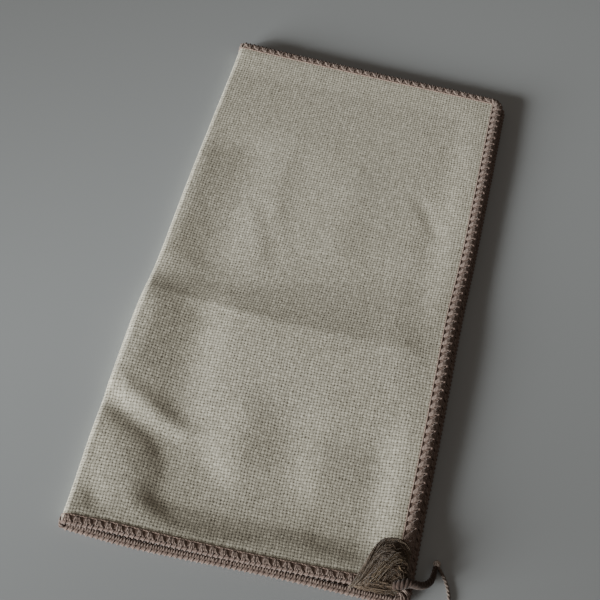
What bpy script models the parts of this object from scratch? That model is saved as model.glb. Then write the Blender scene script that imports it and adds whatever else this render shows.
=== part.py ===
"""A square cotton cleaning cloth, folded once in half and lying flat.

The cloth is one sheet that runs from its lower free edge, round a fold at -X, to its upper
free edge. A thick overlock border of thread grips its cut edge all the way round, through
both layers and both ends of the fold. A tuft of gathered thread ends, with one chain tail,
sits on the near right corner.

The origin is under the middle of the cloth, on the surface that the cloth lies on. +Z is
up, +Y runs along the fold, and the fold is at -X. Sizes are in millimetres until a mesh is
made.
"""

import math

import bpy
import numpy as np

MILLIMETRE = 0.001

# Sheet
CLOTH_THICKNESS = 1.2
HALF_SHEET = 0.5 * CLOTH_THICKNESS
HALF_ACROSS = 148.0
HALF_LENGTH = 149.0
CORNER_RADIUS = 6.0
EDGE_TRIM = 0.08
INSIDE_LEVEL_LOWER = HALF_SHEET
INSIDE_LEVEL_UPPER = 4.3
LEAST_LEVEL_UPPER = 2.2
LEAST_BLEND = 0.5

# Overlock border, measured from the cut edge of the sheet
CLEARANCE = 0.35
BORDER_THICKNESS = 3.0
BORDER_REACH_IN = 3.7
BORDER_REACH_OUT = 0.9
BORDER_SHOULDER = 0.8
STITCH_PITCH = 4.5
STITCH_RELIEF = 0.28
STITCH_SCALLOP = 0.5

# Height of the middle of the sheet under the border, and how far in it reaches
EDGE_LEVEL_LOWER = 0.5 * BORDER_THICKNESS
EDGE_LEVEL_UPPER = EDGE_LEVEL_LOWER + BORDER_THICKNESS + CLEARANCE
EDGE_BAND_START = 6.0
EDGE_BAND_SIDE = 24.0
EDGE_BAND_ENDS = 20.0
EDGE_BAND_BULGE = 0.25
FOLD_SPRING = 0.9
FOLD_SPRING_REACH = 25.0
FOLD_PROBE = 3.0
FOLD_BLEND = 8.0

# Outer edges of the border along the length: y, fold, upper free edge, lower free edge
SIDE_ROWS = (
    (-152.0, -75.4, 70.6, 72.6),
    (-112.0, -76.6, 70.0, 72.4),
    (-70.0, -77.0, 70.6, 72.8),
    (-34.0, -77.2, 70.5, 72.9),
    (-5.0, -75.5, 70.4, 72.8),
    (35.0, -75.4, 72.3, 73.9),
    (88.0, -74.5, 72.8, 74.6),
    (150.0, -73.0, 73.4, 75.0),
)

# Outer edges of the border across the sheet: distance from the fold, which is negative on
# the lower layer, then y of the near end and of the far end
END_ROWS = (
    (-148.0, -151.1, 149.2),
    (-90.0, -151.4, 149.6),
    (-52.0, -153.2, 149.9),
    (-30.0, -153.9, 150.0),
    (0.0, -152.6, 150.0),
    (14.0, -150.9, 149.9),
    (50.0, -150.8, 149.8),
    (80.0, -150.0, 149.4),
    (115.0, -148.3, 149.5),
    (148.0, -146.4, 149.2),
)
ROW_BLEND = 12.0
ROW_SAMPLES = 9

# Soft creases of the upper layer: from x, from y, to x, to y, half width, height
CREASE_ROWS = (
    # Bulge along the fold, and the long dip beside it
    (-72.0, -34.0, -72.0, -66.0, 12.0, 2.2),
    (-46.0, -34.0, -42.0, -84.0, 11.0, -1.4),
    (-74.0, 60.0, -74.0, 0.0, 10.0, 0.7),
    (-48.0, 70.0, -48.0, 4.0, 13.0, -1.0),
    (-52.0, 24.0, -52.0, 4.0, 10.0, -0.5),
    # Slanting fold at the near left: ridge, then the valley on its near side
    (-78.0, -76.0, -38.0, -96.0, 5.5, 1.0),
    (-72.0, -90.0, -38.0, -106.0, 5.5, -1.1),
    # Near left corner: pressed up by the fold, with a trough beside it
    (-68.0, -108.0, -44.0, -143.0, 13.0, 1.5),
    (-46.0, -106.0, -27.0, -131.0, 8.0, -2.0),
    # Dip behind the near border, deeper at three dents
    (-30.0, -124.0, 62.0, -123.0, 13.0, -1.7),
    (-20.0, -108.0, 62.0, -106.0, 30.0, -1.0),
    (-41.0, -129.0, -30.0, -136.0, 6.0, -0.9),
    (-10.0, -134.0, 2.0, -134.0, 6.0, -1.4),
    (34.0, -128.0, 46.0, -129.0, 7.0, -1.2),
    # Low waves that run away from the near border
    (-15.0, -80.0, -17.0, -122.0, 9.0, 1.3),
    (10.0, -84.0, 11.0, -118.0, 12.0, -1.0),
    (22.0, -92.0, 22.0, -124.0, 8.0, 1.1),
    (50.0, -86.0, 50.0, -118.0, 12.0, -1.2),
    (45.0, 24.0, 46.0, -20.0, 12.0, 0.5),
)

# Crosswise facet of the upper layer: x, y of its near crease, y of its far crease, height
# of the ridge on the near one, depth of the trough on the far one
FACET_ROWS = (
    (-78.0, -25.0, -12.0, 1.0, -0.7),
    (-60.0, -25.0, -12.0, 1.2, -0.8),
    (-42.0, -26.0, -12.0, 1.2, -0.8),
    (-6.0, -28.0, -2.0, 1.7, -1.1),
    (20.0, -28.0, 7.0, 2.1, -1.3),
    (65.0, -27.0, 21.0, 2.3, -1.2),
    (76.0, -27.0, 24.0, 2.3, -1.2),
)
FACET_EASE = 0.35
FACET_NEAR_FADE = 42.0
FACET_FAR_FADE = 55.0

# Rise of the upper free edge along the length: y, rise
EDGE_RISE_ROWS = (
    (-150.0, 0.0),
    (-95.0, 0.2),
    (-62.0, 0.9),
    (-25.0, 1.4),
    (12.0, 0.3),
    (48.0, 0.0),
    (100.0, 0.5),
    (150.0, 0.0),
)
EDGE_RISE_START = 20.0
EDGE_RISE_FULL = 120.0

# Grid of the sheet
LOWER_COLUMNS = 8
FOLD_COLUMNS = 9
UPPER_COLUMNS = 24
LENGTH_PARTS = (
    # flat v at the start, at the end, steps between
    (-143.0, -76.0, 15),
    (-76.0, -34.0, 7),
    (-34.0, -10.0, 6),
    (-10.0, 143.0, 20),
)
FOLD_HALF_ARC = 3.0
FOLD_MARGIN = 3.0

# Thread tuft: a pad on the border, and loops that lie over the cloth from it
PAD_CENTRE = (57.6, -145.6, 7.45)
PAD_SIZE = (23.0, 4.6, 1.5)
PAD_BEVEL = 0.5
LOOP_COUNT = 7
LOOP_STRAND = 0.8
LOOP_SIDES = 4
LOOP_SEGMENTS = 12
LOOP_STEP = 1.35
LOOP_HALF_WIDTH = 10.2
LOOP_LENGTH = 21.0
LOOP_LEAN = 4.5
LOOP_RISE = 2.2

# Chain tail from the pad down to the surface: x, y, z
TAIL_DIAMETER = 1.7
TAIL_SIDES = 6
TAIL_ROWS = (
    (66.0, -145.8, 7.65),
    (71.2, -146.6, 7.9),
    (75.0, -146.6, 6.4),
    (76.8, -144.6, 3.6),
    (77.8, -141.6, 1.5),
    (79.2, -138.4, 0.85),
    (80.8, -135.0, 0.85),
    (81.4, -131.4, 0.85),
    (80.4, -128.0, 0.85),
)

# Knot at the end of the tail, and the single thread that comes back from it: x, y, z
KNOT_CENTRE = (80.2, -127.2, 1.3)
KNOT_RADIUS = 1.3
END_THREAD_DIAMETER = 0.8
END_THREAD_SIDES = 4
END_THREAD_ROWS = (
    (80.6, -127.4, 0.9),
    (82.0, -130.0, 0.4),
    (84.2, -133.2, 0.4),
    (86.4, -136.2, 0.4),
    (87.8, -140.0, 0.4),
    (88.2, -144.0, 0.4),
)
CURVE_STEPS = 3

COTTON_COLOUR = (0.60, 0.565, 0.465, 1.0)
COTTON_ROUGHNESS = 0.95
THREAD_COLOUR = (0.300, 0.225, 0.195, 1.0)
THREAD_ROUGHNESS = 0.85
TUFT_COLOUR = (0.235, 0.180, 0.135, 1.0)
TUFT_ROUGHNESS = 0.9


def soft_step(low, high, value):
    """0 below low, 1 above high, and a smooth cubic between them."""
    share = np.clip((value - low) / (high - low), 0.0, 1.0)
    return share * share * (3.0 - 2.0 * share)


def row_value(rows, column, place):
    """A table column at place: straight between rows, then averaged over a short reach."""
    table = np.array(rows)
    steps = np.linspace(-ROW_BLEND, ROW_BLEND, ROW_SAMPLES)
    samples = [np.interp(place + step, table[:, 0], table[:, column]) for step in steps]
    return np.mean(samples, axis=0)


def fold_side(y):
    """x of the outside of the fold."""
    return row_value(SIDE_ROWS, 1, y)


def upper_side(y):
    """x of the cut edge of the upper layer."""
    return row_value(SIDE_ROWS, 2, y) - BORDER_REACH_OUT


def lower_side(y):
    """x of the cut edge of the lower layer."""
    return row_value(SIDE_ROWS, 3, y) - BORDER_REACH_OUT


def near_end(across):
    """y of the cut edge at the near end."""
    return row_value(END_ROWS, 1, across) + BORDER_REACH_OUT


def far_end(across):
    """y of the cut edge at the far end."""
    return row_value(END_ROWS, 2, across) - BORDER_REACH_OUT


def crease_height(x, y):
    """Sum of the soft creases: each is a bell of the distance to its own line."""
    total = 0.0 * x
    for x_0, y_0, x_1, y_1, width, height in CREASE_ROWS:
        run_x = x_1 - x_0
        run_y = y_1 - y_0
        share = ((x - x_0) * run_x + (y - y_0) * run_y) / (run_x**2 + run_y**2)
        share = np.clip(share, 0.0, 1.0)
        distance = np.hypot(x - x_0 - share * run_x, y - y_0 - share * run_y)
        total = total + height * np.exp(-((distance / width) ** 2))
    return total


def facet_height(x, y):
    """A ridge on the near crease, a slope to the far crease that eases, soft beyond both."""
    near = row_value(FACET_ROWS, 1, x)
    far = row_value(FACET_ROWS, 2, x)
    ridge = row_value(FACET_ROWS, 3, x)
    trough = row_value(FACET_ROWS, 4, x)
    share = np.clip((y - near) / (far - near), 0.0, 1.0)
    slope = ridge + (trough - ridge) * share * (1.0 + FACET_EASE * (1.0 - share))
    before = ridge * np.exp(-((np.minimum(y - near, 0.0) / FACET_NEAR_FADE) ** 2))
    beyond = trough * np.exp(-((np.maximum(y - far, 0.0) / FACET_FAR_FADE) ** 2))
    return np.where(y < near, before, np.where(y > far, beyond, slope))


def edge_share(from_side, across, y):
    """1 under the border and 0 well inside it."""
    from_ends = np.minimum(y - near_end(across), far_end(across) - y)
    ramp = (from_ends - EDGE_BAND_START) / (EDGE_BAND_ENDS - EDGE_BAND_START)
    ramp = np.clip(ramp, 0.0, 1.0)
    inward = ramp * (1.0 + EDGE_BAND_BULGE * (1.0 - ramp))
    return 1.0 - inward * soft_step(EDGE_BAND_START, EDGE_BAND_SIDE, from_side)


def lower_level(x, y):
    """Height of the middle of the lower layer: flat inside, lifted by the border."""
    share = edge_share(lower_side(y) - x, fold_side(y) - x, y)
    return INSIDE_LEVEL_LOWER + (EDGE_LEVEL_LOWER - INSIDE_LEVEL_LOWER) * share


def upper_level(x, y):
    """Height of the middle of the upper layer, with its creases."""
    from_fold = x - fold_side(y)
    inside = INSIDE_LEVEL_UPPER + facet_height(x, y) + crease_height(x, y)
    over = inside - LEAST_LEVEL_UPPER
    inside = LEAST_LEVEL_UPPER + 0.5 * (over + np.hypot(over, LEAST_BLEND))
    rise = row_value(EDGE_RISE_ROWS, 1, y)
    rise = rise * soft_step(EDGE_RISE_START, EDGE_RISE_FULL, from_fold)
    spring = FOLD_SPRING * np.exp(-from_fold / FOLD_SPRING_REACH)
    border = EDGE_LEVEL_UPPER + rise + spring
    share = edge_share(upper_side(y) - x, from_fold, y)
    return inside + (border - inside) * share


def fold_shape(y):
    """Centre x, centre z and radius of the half circle that joins the two layers."""
    probe = fold_side(y) + FOLD_PROBE
    low = lower_level(probe, y)
    high = upper_level(probe, y)
    radius = 0.5 * (high - low)
    return fold_side(y) + HALF_SHEET + radius, 0.5 * (high + low), radius


def section_point(across, y):
    """Middle of the sheet at a distance from the fold: half circle, then the level run."""
    centre_x, centre_z, radius = fold_shape(y)
    past = np.maximum(np.abs(across) - 0.5 * math.pi * radius, 0.0)
    angle = np.clip(across / radius, -0.5 * math.pi, 0.5 * math.pi)
    x = centre_x - radius * np.cos(angle) + past
    arc_z = centre_z + radius * np.sin(angle)
    level = np.where(across > 0.0, upper_level(x, y), lower_level(x, y))
    z = arc_z + (level - arc_z) * soft_step(0.0, FOLD_BLEND, past)
    return np.stack([x, y, z], axis=-1)


def surface(flat_u, flat_v):
    """Middle of the folded sheet at a point of the flat one, and the normal to its outside.

    The flat point is stretched to the real ends along the length, and then to the real free
    edges across it.
    """
    near = near_end(flat_u)
    far = far_end(flat_u)
    y = near + (far - near) * (flat_v + HALF_LENGTH) / (2.0 * HALF_LENGTH)
    centre_x, _, radius = fold_shape(y)
    half_arc = 0.5 * math.pi * radius
    side = np.where(flat_u > 0.0, upper_side(y), lower_side(y))
    across = flat_u * (half_arc + side - centre_x) / HALF_ACROSS
    step = 0.2
    run = section_point(across + step, y) - section_point(across - step, y)
    normal = np.stack([-run[..., 2], 0.0 * y, run[..., 0]], axis=-1)
    normal = normal / np.linalg.norm(normal, axis=-1, keepdims=True)
    return section_point(across, y), normal


def make_object(name, points, faces, material):
    """A mesh object from points in millimetres."""
    mesh = bpy.data.meshes.new(name)
    mesh.from_pydata((np.asarray(points) * MILLIMETRE).tolist(), [], faces)
    mesh.materials.append(material)
    mesh.validate()
    mesh.shade_smooth()
    result = bpy.data.objects.new(name, mesh)
    bpy.context.collection.objects.link(result)
    return result


def make_material(name, colour, roughness):
    """A plain finish for one sub-part."""
    material = bpy.data.materials.new(name)
    material.use_nodes = True
    shader = material.node_tree.nodes["Principled BSDF"]
    shader.inputs["Base Color"].default_value = colour
    shader.inputs["Roughness"].default_value = roughness
    shader.inputs["Metallic"].default_value = 0.0
    return material


def fold_columns():
    """Places of the grid columns that go round the fold."""
    return np.linspace(-FOLD_HALF_ARC, FOLD_HALF_ARC, FOLD_COLUMNS)


def grid_faces(columns, rows, offset, flip):
    """Four-sided faces of a grid whose points run row by row along each column."""
    faces = []
    for i in range(columns - 1):
        for j in range(rows - 1):
            corner = offset + i * rows + j
            face = (corner, corner + rows, corner + rows + 1, corner + 1)
            faces.append(face[::-1] if flip else face)
    return faces


def make_cloth(material):
    """The sheet: a grid for its outside, one for its inside, and a strip round the edge.

    Its edge stays a little back from the line that the border is built on.
    """
    inset = HALF_ACROSS - CORNER_RADIUS
    start = FOLD_HALF_ARC + FOLD_MARGIN
    lower = np.linspace(-inset, -start, LOWER_COLUMNS)
    upper = np.linspace(start, inset, UPPER_COLUMNS)
    edge_u = HALF_ACROSS - EDGE_TRIM
    edge_v = HALF_LENGTH - EDGE_TRIM
    flat_u = np.concatenate([[-edge_u], lower, fold_columns(), upper, [edge_u]])
    parts = [np.linspace(start_v, end_v, steps + 1)[1:] for start_v, end_v, steps in LENGTH_PARTS]
    flat_v = np.concatenate([[-edge_v, LENGTH_PARTS[0][0]], *parts, [edge_v]])
    grid_u, grid_v = np.meshgrid(flat_u, flat_v, indexing="ij")
    columns, rows = grid_u.shape
    drawn_in = CORNER_RADIUS * (1.0 - math.sqrt(0.5))
    for i in (0, -1):
        for j in (0, -1):
            grid_u[i, j] -= math.copysign(drawn_in, grid_u[i, j])
            grid_v[i, j] -= math.copysign(drawn_in, grid_v[i, j])
    middle, normal = surface(grid_u, grid_v)
    outside = (middle + HALF_SHEET * normal).reshape(-1, 3)
    inside = (middle - HALF_SHEET * normal).reshape(-1, 3)
    count = columns * rows
    faces = grid_faces(columns, rows, 0, False) + grid_faces(columns, rows, count, True)
    rim = [i * rows for i in range(columns)]
    rim += [(columns - 1) * rows + j for j in range(1, rows)]
    rim += [i * rows + rows - 1 for i in range(columns - 2, -1, -1)]
    rim += list(range(rows - 2, 0, -1))
    for index, first in enumerate(rim):
        second = rim[(index + 1) % len(rim)]
        faces.append((first, first + count, second + count, second))
    return make_object("cloth", np.concatenate([outside, inside]), faces, material)


def border_stations():
    """Flat points, outward directions and stitch heights along the cut edge.

    The route is a rectangle with round corners. It has a station at each stitch's ridge and
    at each valley, and one at each grid column of the fold.
    """
    straight_u = 2.0 * (HALF_ACROSS - CORNER_RADIUS)
    straight_v = 2.0 * (HALF_LENGTH - CORNER_RADIUS)
    corner = 0.5 * math.pi * CORNER_RADIUS
    side_run = straight_v + corner
    end_run = straight_u + corner
    total = 2.0 * (side_run + end_run)
    stitches = round(total / STITCH_PITCH)
    even = np.arange(2 * stitches) * total / (2 * stitches)
    far_middle = side_run + 0.5 * straight_u
    near_middle = 2.0 * side_run + end_run + 0.5 * straight_u
    folds = np.concatenate([far_middle + fold_columns(), near_middle + fold_columns()])
    spread = np.abs(even[:, None] - folds[None, :]).min(axis=1)
    distance = np.sort(np.concatenate([even[spread > 0.1 * STITCH_PITCH], folds]))
    height = 0.5 + 0.5 * np.cos(2.0 * math.pi * distance * stitches / total)

    flat_u = np.empty_like(distance)
    flat_v = np.empty_like(distance)
    out_u = np.empty_like(distance)
    out_v = np.empty_like(distance)
    centre_u = HALF_ACROSS - CORNER_RADIUS
    centre_v = HALF_LENGTH - CORNER_RADIUS
    runs = (
        (0.0, straight_v, (1.0, 0.0), (1.0, -1.0)),
        (side_run, straight_u, (0.0, 1.0), (1.0, 1.0)),
        (side_run + end_run, straight_v, (-1.0, 0.0), (-1.0, 1.0)),
        (2.0 * side_run + end_run, straight_u, (0.0, -1.0), (-1.0, -1.0)),
    )
    for start, straight, out, corner_sign in runs:
        along = distance - start
        own = (along >= 0.0) & (along < straight + corner)
        turn = np.maximum(along[own] - straight, 0.0) / CORNER_RADIUS
        step = np.minimum(along[own], straight)
        way = (-out[1], out[0])
        out_u[own] = out[0] * np.cos(turn) + way[0] * np.sin(turn)
        out_v[own] = out[1] * np.cos(turn) + way[1] * np.sin(turn)
        flat_u[own] = corner_sign[0] * centre_u + way[0] * step + CORNER_RADIUS * out_u[own]
        flat_v[own] = corner_sign[1] * centre_v + way[1] * step + CORNER_RADIUS * out_v[own]
    return flat_u, flat_v, out_u, out_v, height


def make_border(material):
    """The overlock border: a thick channel over the cut edge, with a ridge at each stitch."""
    flat_u, flat_v, out_u, out_v, height = border_stations()
    centre, normal = surface(flat_u, flat_v)
    step = 0.2
    ahead, _ = surface(flat_u + step * out_u, flat_v + step * out_v)
    behind, _ = surface(flat_u - step * out_u, flat_v - step * out_v)
    out = ahead - behind
    out = out / np.linalg.norm(out, axis=-1, keepdims=True)
    valley = 1.0 - height
    slot = HALF_SHEET + CLEARANCE
    crest = 0.5 * BORDER_THICKNESS - STITCH_RELIEF * valley
    reach_out = BORDER_REACH_OUT - STITCH_RELIEF * valley
    reach_in = BORDER_REACH_IN - STITCH_SCALLOP * valley
    level = np.ones_like(height)
    ring = (
        (CLEARANCE * level, slot * level),
        (-reach_in, slot * level),
        (BORDER_SHOULDER - reach_in, crest),
        (reach_out, slot * level),
        (reach_out, -slot * level),
        (BORDER_SHOULDER - reach_in, -crest),
        (-reach_in, -slot * level),
        (CLEARANCE * level, -slot * level),
    )
    sides = len(ring)
    rings = len(height)
    points = [centre + out * along[:, None] + normal * up[:, None] for along, up in ring]
    points = np.stack(points, axis=1).reshape(-1, 3)
    faces = []
    for i in range(rings):
        following = (i + 1) % rings
        for k in range(sides):
            after = (k + 1) % sides
            faces.append(
                (i * sides + k, i * sides + after, following * sides + after, following * sides + k)
            )
    return make_object("overlock_border", points, faces, material)


def smooth_route(rows, diameter):
    """A Catmull-Rom curve through the rows, a few steps between each two, never too low."""
    knots = np.array(rows)
    padded = np.concatenate([[2.0 * knots[0] - knots[1]], knots, [2.0 * knots[-1] - knots[-2]]])
    route = []
    for i in range(len(knots) - 1):
        a, b, c, d = padded[i : i + 4]
        for t in np.arange(CURVE_STEPS) / CURVE_STEPS:
            route.append(
                0.5
                * (
                    2.0 * b
                    + (c - a) * t
                    + (2.0 * a - 5.0 * b + 4.0 * c - d) * t**2
                    + (3.0 * b - a - 3.0 * c + d) * t**3
                )
            )
    route.append(knots[-1])
    route = np.array(route)
    route[:, 2] = np.maximum(route[:, 2], 0.5 * diameter)
    return route


def tube(route, diameter, sides):
    """Points and faces of a closed tube: flat-bottomed rings square to the route.

    No point goes below the surface that the cloth lies on.
    """
    along = np.gradient(route, axis=0)
    along = along / np.linalg.norm(along, axis=1, keepdims=True)
    side = np.cross(along, np.array([0.0, 0.0, 1.0]))
    side = side / np.linalg.norm(side, axis=1, keepdims=True)
    up = np.cross(side, along)
    angles = 2.0 * math.pi * (np.arange(sides) + 0.5) / sides
    radius = 0.5 * diameter / math.cos(math.pi / sides)
    rings = [
        route + radius * (side * math.sin(angle) - up * math.cos(angle)) for angle in angles
    ]
    points = np.stack(rings, axis=1).reshape(-1, 3)
    points[:, 2] = np.maximum(points[:, 2], 0.0)
    faces = [tuple(range(sides)), tuple(range(len(points) - 1, len(points) - sides - 1, -1))]
    for i in range(len(route) - 1):
        for k in range(sides):
            after = (k + 1) % sides
            start = i * sides
            faces.append((start + k, start + sides + k, start + sides + after, start + after))
    return points, faces


def loop_route(index):
    """Half an ellipse that leans to one side and rises in the middle, inside the last one."""
    turn = np.linspace(0.0, math.pi, LOOP_SEGMENTS + 1)
    inner = 1.0 - index * LOOP_STEP / LOOP_HALF_WIDTH
    x = PAD_CENTRE[0] - inner * LOOP_HALF_WIDTH * np.cos(turn) + inner * LOOP_LEAN * np.sin(turn)
    y = PAD_CENTRE[1] + inner * LOOP_LENGTH * np.sin(turn)
    z = PAD_CENTRE[2] + LOOP_RISE * np.sin(turn)
    return np.stack([x, y, z], axis=1)


def add_tool(name, points, faces, material):
    """A guide shape for a union, left out of the object."""
    tool = make_object(name, points, faces, material)
    tool.hide_render = True
    tool.display_type = "WIRE"
    return tool


def ball(centre, radius):
    """Points and faces of a small round knot with eight sides."""
    sides = 8
    bands = 5
    points = [(centre[0], centre[1], centre[2] - radius)]
    for j in range(1, bands):
        tilt = math.pi * j / bands
        for k in range(sides):
            turn = 2.0 * math.pi * k / sides
            x = centre[0] + radius * math.sin(tilt) * math.cos(turn)
            y = centre[1] + radius * math.sin(tilt) * math.sin(turn)
            points.append((x, y, centre[2] - radius * math.cos(tilt)))
    points.append((centre[0], centre[1], centre[2] + radius))
    faces = []
    for k in range(sides):
        after = (k + 1) % sides
        faces.append((0, 1 + after, 1 + k))
        for j in range(bands - 2):
            low = 1 + j * sides
            faces.append((low + k, low + after, low + sides + after, low + sides + k))
        last = 1 + (bands - 2) * sides
        faces.append((last + k, last + after, len(points) - 1))
    return np.array(points), faces


def make_pad(material):
    """The low pad that the loops and the tail grow from."""
    half = 0.5 * np.array(PAD_SIZE)
    corners = [(x, y, z) for x in (-1, 1) for y in (-1, 1) for z in (-1, 1)]
    points = np.array(PAD_CENTRE) + np.array(corners) * half
    faces = [(0, 1, 3, 2), (4, 6, 7, 5), (0, 4, 5, 1), (2, 3, 7, 6), (0, 2, 6, 4), (1, 5, 7, 3)]
    pad = make_object("thread_tuft", points, faces, material)
    bevel = pad.modifiers.new("soft_edges", "BEVEL")
    bevel.width = PAD_BEVEL * MILLIMETRE
    bevel.segments = 1
    return pad


def make_tuft(material):
    """The pad with its loops, its chain tail, the knot and the single end thread."""
    tuft = make_pad(material)
    loop_points = []
    loop_faces = []
    offset = 0
    for index in range(LOOP_COUNT):
        points, faces = tube(loop_route(index), LOOP_STRAND, LOOP_SIDES)
        loop_points.append(points)
        loop_faces += [tuple(corner + offset for corner in face) for face in faces]
        offset += len(points)
    end_route = smooth_route(END_THREAD_ROWS, END_THREAD_DIAMETER)
    shapes = (
        ("guide_loops", np.concatenate(loop_points), loop_faces),
        ("guide_tail", *tube(smooth_route(TAIL_ROWS, TAIL_DIAMETER), TAIL_DIAMETER, TAIL_SIDES)),
        ("guide_knot", *ball(KNOT_CENTRE, KNOT_RADIUS)),
        ("guide_end", *tube(end_route, END_THREAD_DIAMETER, END_THREAD_SIDES)),
    )
    for name, points, faces in shapes:
        union = tuft.modifiers.new(name, "BOOLEAN")
        union.operation = "UNION"
        union.solver = "EXACT"
        union.object = add_tool(name, points, faces, material)
    return tuft


def main():
    """Builds the three sub-parts in an empty scene."""
    for old in list(bpy.data.objects):
        bpy.data.objects.remove(old)
    make_cloth(make_material("cotton", COTTON_COLOUR, COTTON_ROUGHNESS))
    make_border(make_material("overlock_thread", THREAD_COLOUR, THREAD_ROUGHNESS))
    make_tuft(make_material("loose_thread", TUFT_COLOUR, TUFT_ROUGHNESS))


main()
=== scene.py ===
"""Looks of a folded cotton cleaning cloth with an overlocked thread border.

The cloth is one fine sheet on the folds of the solid one. The border is a dark band with
threads laid over it stitch by stitch. The tuft at its near right corner is made of single
strands, with a twisted tail, a pale end thread and two small knots. Sizes are in
millimetres until a mesh is made, in the frame's own axes: +Z is up, +Y runs along the
fold, and the fold is at -X.
"""

import math

import bpy
import numpy as np
from mathutils import Matrix, Vector


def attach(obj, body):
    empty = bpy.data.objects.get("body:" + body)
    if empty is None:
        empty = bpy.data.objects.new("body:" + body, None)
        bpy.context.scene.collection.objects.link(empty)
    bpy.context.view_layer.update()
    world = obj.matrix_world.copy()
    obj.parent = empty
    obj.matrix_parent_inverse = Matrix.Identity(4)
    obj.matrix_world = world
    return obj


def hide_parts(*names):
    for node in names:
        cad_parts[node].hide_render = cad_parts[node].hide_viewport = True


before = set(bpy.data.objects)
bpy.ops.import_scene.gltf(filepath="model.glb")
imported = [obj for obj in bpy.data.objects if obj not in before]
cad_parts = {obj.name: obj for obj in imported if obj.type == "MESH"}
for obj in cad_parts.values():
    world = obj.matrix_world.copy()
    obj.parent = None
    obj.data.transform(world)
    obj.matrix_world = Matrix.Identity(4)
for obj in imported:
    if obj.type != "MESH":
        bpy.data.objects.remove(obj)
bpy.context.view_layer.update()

MILLIMETRE = 0.001
RANDOM = np.random.default_rng(7)

# Camera: where it stands and looks, in metres, its roll, angle of view and nearest distance
CAMERA_PLACE = (0.0351, -0.3883, 0.5064)
CAMERA_TARGET = (-0.0047, -0.0085, 0.0)
CAMERA_ROLL = math.radians(8.15)
CAMERA_ANGLE = math.radians(25.34)
CAMERA_NEAREST = 0.01

# Sheet: half its thickness here and in the solid, half its flat sizes, its corners, the
# heights of its layers inside the border with the least and its soft bend, and half the
# step that its directions are measured over
HALF_SHEET = 0.5
HALF_SOLID_SHEET = 0.6
HALF_ACROSS = 148.0
HALF_LENGTH = 149.0
CORNER_RADIUS = 6.0
INSIDE_LEVEL_LOWER = HALF_SOLID_SHEET
INSIDE_LEVEL_UPPER = 4.3
LEAST_LEVEL_UPPER = 2.2
LEAST_BLEND = 0.5
PROBE_STEP = 0.2

# Points of the sheet's grid: a fine strip round the fold, the two layers, the length
FOLD_STRIP = 6.5
FOLD_POINT_STEP = 0.5
FOLD_POINTS = 27
LOWER_POINTS = 70
UPPER_POINTS = 102
LENGTH_POINTS = 190

# Border: thickness, gap between its layers, reach past the cut edge, pitch of a stitch and
# height of the sheet under it; then the band that it lifts: start, reach at the sides and
# at the ends, bulge of its slope
BORDER_THICKNESS = 3.0
BORDER_GAP = 0.35
BORDER_REACH_OUT = 0.9
STITCH_PITCH = 4.5
EDGE_LEVEL_LOWER = 0.5 * BORDER_THICKNESS
EDGE_LEVEL_UPPER = EDGE_LEVEL_LOWER + BORDER_THICKNESS + BORDER_GAP
EDGE_BAND_START = 6.0
EDGE_BAND_SIDE = 24.0
EDGE_BAND_ENDS = 20.0
EDGE_BAND_BULGE = 0.25

# Length of the cut edge, a rectangle with round corners, and the number of its stitches
EDGE_TOTAL = 4.0 * (HALF_ACROSS + HALF_LENGTH - 2.0 * CORNER_RADIUS) + 2.0 * math.pi * CORNER_RADIUS
STITCHES = round(EDGE_TOTAL / STITCH_PITCH)

# Fold: rise of the border beside it and its reach, distance from the outside where the
# heights of the layers are measured, and run over which the half circle eases into them
FOLD_SPRING = 0.9
FOLD_SPRING_REACH = 25.0
FOLD_PROBE = 3.0
FOLD_BLEND = 8.0

# Outer edges of the border along the length: y, fold, upper free edge, lower free edge
SIDE_ROWS = (
    (-152.0, -75.4, 70.6, 72.6),
    (-112.0, -76.6, 70.0, 72.4),
    (-70.0, -77.0, 70.6, 72.8),
    (-34.0, -77.2, 70.5, 72.9),
    (-5.0, -75.5, 70.4, 72.8),
    (35.0, -75.4, 72.3, 73.9),
    (88.0, -74.5, 72.8, 74.6),
    (150.0, -73.0, 73.4, 75.0),
)

# Outer edges of the border across the sheet: distance from the fold, which is negative on
# the lower layer, then y of the near end and of the far end
END_ROWS = (
    (-148.0, -151.1, 149.2),
    (-90.0, -151.4, 149.6),
    (-52.0, -153.2, 149.9),
    (-30.0, -153.9, 150.0),
    (0.0, -152.6, 150.0),
    (14.0, -150.9, 149.9),
    (50.0, -150.8, 149.8),
    (80.0, -150.0, 149.4),
    (115.0, -148.3, 149.5),
    (148.0, -146.4, 149.2),
)
# Reach to each side over which a table's values are averaged, and the samples taken
ROW_BLEND = 12.0
ROW_SAMPLES = 9

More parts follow.
